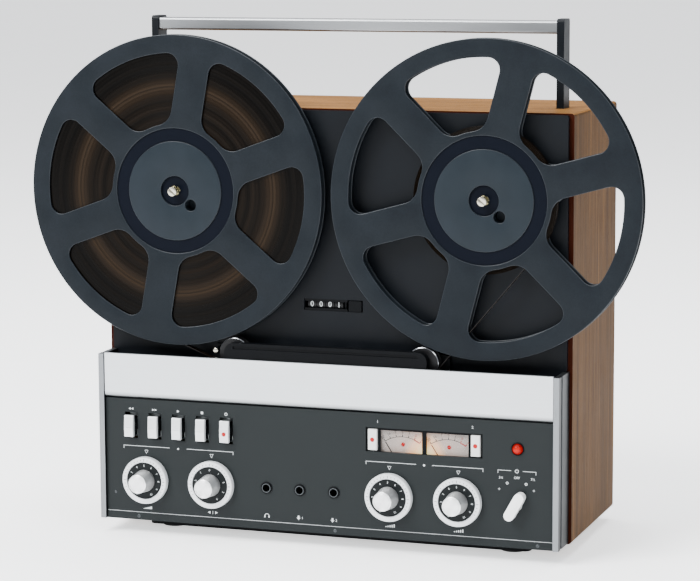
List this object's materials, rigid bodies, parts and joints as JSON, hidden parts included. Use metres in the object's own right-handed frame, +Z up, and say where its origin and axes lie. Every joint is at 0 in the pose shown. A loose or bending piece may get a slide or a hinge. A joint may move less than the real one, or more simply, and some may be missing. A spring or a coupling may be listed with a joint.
{
  "type": "reel-to-reel tape recorder",
  "caption": "Upright open-reel tape recorder in a walnut cabinet: large spools, grey control panel with dials, keys and lit meters, drop-down head flap and pull-up carrying handle.",
  "frame": {"origin": "on the floor under the middle of the bounding box", "axes": "+X right seen from the front, +Y to the back, +Z up"},
  "size_m": [0.538, 0.2012, 0.4438],
  "materials": {
    "walnut": "oiled veneer, satin",
    "black_plastic": "satin moulded",
    "foot_rubber": "matt",
    "rear_grey": "fine texture paint",
    "socket_metal": "plated",
    "deck_black": "satin paint",
    "panel_grey": "satin paint",
    "bright_trim": "brushed and anodised",
    "zinc_sheet": "plated",
    "silver_key": "satin silver",
    "ring_white": "satin white",
    "spun_knob": "spun",
    "lever_white": "satin",
    "lamp_red": "translucent, lit",
    "clear_pane": "clear",
    "meter_ivory": "printed, lit from below",
    "needle_black": "matt",
    "preset_white": "satin",
    "wheel_black": "matt with white figures",
    "cast_block": "satin",
    "head_metal": "lapped",
    "tape_brown": "smooth, banded",
    "polished_steel": "polished",
    "spool_slate": "bead blasted and anodised",
    "hub_slate": "bead blasted, bright spindle",
    "arm_black": "satin paint",
    "motor_steel": "plain",
    "core_brown": "varnished",
    "board_green": "lacquered"
  },
  "bodies": {
    "chassis": {"wood_cabinet": "walnut", "base_plinth": "black_plastic", "rubber_feet": "foot_rubber", "rear_panel": "rear_grey", "rear_sockets": "socket_metal", "deck_plate": "deck_black", "control_panel": "panel_grey", "side_trims": "bright_trim", "housing_shell": "zinc_sheet", "lamp_jewel": "lamp_red", "jack_sockets": "black_plastic", "potentiometers": "zinc_sheet", "meter_bezel": "black_plastic", "meter_window": "clear_pane", "meter_faces": "meter_ivory", "counter_frame": "black_plastic", "head_block": "cast_block", "head_cover": "black_plastic", "tape_heads": "head_metal", "tape_strand": "tape_brown", "drive_motors": "motor_steel", "power_transformer": "core_brown", "circuit_boards": "board_green"},
    "flap": {"head_flap": "bright_trim"},
    "rewind_key": {"rewind_key": "silver_key"},
    "forward_key": {"forward_key": "silver_key"},
    "play_key": {"play_key": "silver_key"},
    "stop_key": {"stop_key": "silver_key"},
    "record_key": {"record_key": "silver_key"},
    "left_preset_key": {"left_preset_key": "preset_white"},
    "right_preset_key": {"right_preset_key": "preset_white"},
    "volume_ring": {"volume_ring": "ring_white"},
    "volume_dial": {"volume_dial": "spun_knob"},
    "balance_ring": {"balance_ring": "ring_white"},
    "balance_dial": {"balance_dial": "spun_knob"},
    "left_level_ring": {"left_level_ring": "ring_white"},
    "left_level_dial": {"left_level_dial": "spun_knob"},
    "right_level_ring": {"right_level_ring": "ring_white"},
    "right_level_dial": {"right_level_dial": "spun_knob"},
    "power_lever": {"power_lever": "lever_white"},
    "left_needle": {"left_needle": "needle_black"},
    "right_needle": {"right_needle": "needle_black"},
    "reset_button": {"reset_button": "black_plastic"},
    "supply_reel": {"supply_spool": "spool_slate", "supply_tape": "tape_brown", "supply_turntable": "hub_slate"},
    "takeup_reel": {"takeup_spool": "spool_slate", "takeup_tape": "tape_brown", "takeup_turntable": "hub_slate"},
    "thousands_wheel": {"thousands_wheel": "wheel_black"},
    "hundreds_wheel": {"hundreds_wheel": "wheel_black"},
    "tens_wheel": {"tens_wheel": "wheel_black"},
    "units_wheel": {"units_wheel": "wheel_black"},
    "left_guide_roller": {"left_guide_roller": "polished_steel"},
    "right_guide_roller": {"right_guide_roller": "polished_steel"},
    "capstan": {"capstan": "polished_steel"},
    "pinch_arm": {"pinch_arm": "zinc_sheet"},
    "pinch_roller": {"pinch_roller": "foot_rubber"},
    "handle": {"handle_bar": "bright_trim", "handle_arms": "arm_black"}
  },
  "joints": [
    {"name": "flap_hinge", "type": "hinge", "parent": "chassis", "child": "flap", "pos_m": [0, -0.0785, 0.1228], "axis": [1, 0, 0], "range_deg": [0, 90]},
    {"name": "rewind_key_press", "type": "slide", "parent": "chassis", "child": "rewind_key", "axis": [0, 1, 0], "range_m": [0, 0.004], "stiffness_N_per_m": 200},
    {"name": "forward_key_press", "type": "slide", "parent": "chassis", "child": "forward_key", "axis": [0, 1, 0], "range_m": [0, 0.004], "stiffness_N_per_m": 200},
    {"name": "play_key_press", "type": "slide", "parent": "chassis", "child": "play_key", "axis": [0, 1, 0], "range_m": [0, 0.004], "stiffness_N_per_m": 200},
    {"name": "stop_key_press", "type": "slide", "parent": "chassis", "child": "stop_key", "axis": [0, 1, 0], "range_m": [0, 0.004], "stiffness_N_per_m": 200},
    {"name": "record_key_press", "type": "slide", "parent": "chassis", "child": "record_key", "axis": [0, 1, 0], "range_m": [0, 0.004], "stiffness_N_per_m": 200},
    {"name": "left_preset_key_press", "type": "slide", "parent": "chassis", "child": "left_preset_key", "axis": [0, 1, 0], "range_m": [0, 0.0025], "stiffness_N_per_m": 200},
    {"name": "right_preset_key_press", "type": "slide", "parent": "chassis", "child": "right_preset_key", "axis": [0, 1, 0], "range_m": [0, 0.0025], "stiffness_N_per_m": 200},
    {"name": "volume_ring_turn", "type": "hinge", "parent": "chassis", "child": "volume_ring", "pos_m": [-0.1623, -0.0829, 0.0481], "axis": [0, -1, 0], "range_deg": [-90, 0]},
    {"name": "volume_dial_turn", "type": "hinge", "parent": "chassis", "child": "volume_dial", "pos_m": [-0.1623, -0.0829, 0.0481], "axis": [0, -1, 0], "range_deg": [-150, 150]},
    {"name": "balance_ring_turn", "type": "hinge", "parent": "chassis", "child": "balance_ring", "pos_m": [-0.1015, -0.0829, 0.0481], "axis": [0, -1, 0], "range_deg": [-90, 0]},
    {"name": "balance_dial_turn", "type": "hinge", "parent": "chassis", "child": "balance_dial", "pos_m": [-0.1015, -0.0829, 0.0481], "axis": [0, -1, 0], "range_deg": [-150, 150]},
    {"name": "left_level_ring_turn", "type": "hinge", "parent": "chassis", "child": "left_level_ring", "pos_m": [0.0583, -0.0829, 0.0481], "axis": [0, -1, 0], "range_deg": [-90, 0]},
    {"name": "left_level_dial_turn", "type": "hinge", "parent": "chassis", "child": "left_level_dial", "pos_m": [0.0583, -0.0829, 0.0481], "axis": [0, -1, 0], "range_deg": [-150, 150]},
    {"name": "right_level_ring_turn", "type": "hinge", "parent": "chassis", "child": "right_level_ring", "pos_m": [0.1183, -0.0829, 0.0481], "axis": [0, -1, 0], "range_deg": [-90, 0]},
    {"name": "right_level_dial_turn", "type": "hinge", "parent": "chassis", "child": "right_level_dial", "pos_m": [0.1183, -0.0829, 0.0481], "axis": [0, -1, 0], "range_deg": [-150, 150]},
    {"name": "power_lever_turn", "type": "hinge", "parent": "chassis", "child": "power_lever", "pos_m": [0.1682, -0.0829, 0.0486], "axis": [0, -1, 0], "range_deg": [-25, 83]},
    {"name": "left_needle_swing", "type": "hinge", "parent": "chassis", "child": "left_needle", "pos_m": [0.06825, -0.0758, 0.0711], "axis": [0, 1, 0], "range_deg": [0, 66], "stiffness_Nm_per_rad": 0.0002},
    {"name": "right_needle_swing", "type": "hinge", "parent": "chassis", "child": "right_needle", "pos_m": [0.10835, -0.0758, 0.0711], "axis": [0, 1, 0], "range_deg": [0, 66], "stiffness_Nm_per_rad": 0.0002},
    {"name": "reset_button_press", "type": "slide", "parent": "chassis", "child": "reset_button", "axis": [0, 1, 0], "range_m": [0, 0.003], "stiffness_N_per_m": 150},
    {"name": "supply_spin", "type": "hinge", "parent": "chassis", "child": "supply_reel", "pos_m": [-0.1365, -0.0644, 0.29825], "axis": [0, -1, 0], "continuous": true},
    {"name": "takeup_spin", "type": "hinge", "parent": "chassis", "child": "takeup_reel", "pos_m": [0.1365, -0.0644, 0.29825], "axis": [0, -1, 0], "continuous": true},
    {"name": "thousands_wheel_turn", "type": "hinge", "parent": "chassis", "child": "thousands_wheel", "pos_m": [-0.02, -0.04034, 0.2035], "axis": [1, 0, 0], "continuous": true},
    {"name": "hundreds_wheel_turn", "type": "hinge", "parent": "chassis", "child": "hundreds_wheel", "pos_m": [-0.012, -0.04034, 0.2035], "axis": [1, 0, 0], "continuous": true},
    {"name": "tens_wheel_turn", "type": "hinge", "parent": "chassis", "child": "tens_wheel", "pos_m": [-0.004, -0.04034, 0.2035], "axis": [1, 0, 0], "continuous": true},
    {"name": "units_wheel_turn", "type": "hinge", "parent": "chassis", "child": "units_wheel", "pos_m": [0.004, -0.04034, 0.2035], "axis": [1, 0, 0], "continuous": true},
    {"name": "left_guide_roller_spin", "type": "hinge", "parent": "chassis", "child": "left_guide_roller", "pos_m": [-0.084, -0.0644, 0.1604], "axis": [0, -1, 0], "continuous": true},
    {"name": "right_guide_roller_spin", "type": "hinge", "parent": "chassis", "child": "right_guide_roller", "pos_m": [0.084, -0.0644, 0.1604], "axis": [0, -1, 0], "continuous": true},
    {"name": "capstan_spin", "type": "hinge", "parent": "chassis", "child": "capstan", "pos_m": [0.056, -0.0644, 0.15335], "axis": [0, -1, 0], "continuous": true},
    {"name": "pinch_arm_swing", "type": "hinge", "parent": "chassis", "child": "pinch_arm", "pos_m": [0.018, -0.0589, 0.13375], "axis": [0, -1, 0], "range_deg": [0, 5.4]},
    {"name": "pinch_roller_spin", "type": "hinge", "parent": "pinch_arm", "child": "pinch_roller", "pos_m": [0.056, -0.0644, 0.13375], "axis": [0, -1, 0], "continuous": true},
    {"name": "handle_slide", "type": "slide", "parent": "chassis", "child": "handle", "axis": [0, 0, 1], "range_m": [-0.061, 0]}
  ],
  "couplings": [
    {"joint": "thousands_wheel_turn", "follows": "takeup_spin", "ratio": 0.0001},
    {"joint": "hundreds_wheel_turn", "follows": "takeup_spin", "ratio": 0.001},
    {"joint": "tens_wheel_turn", "follows": "takeup_spin", "ratio": 0.01},
    {"joint": "units_wheel_turn", "follows": "takeup_spin", "ratio": 0.1}
  ]
}
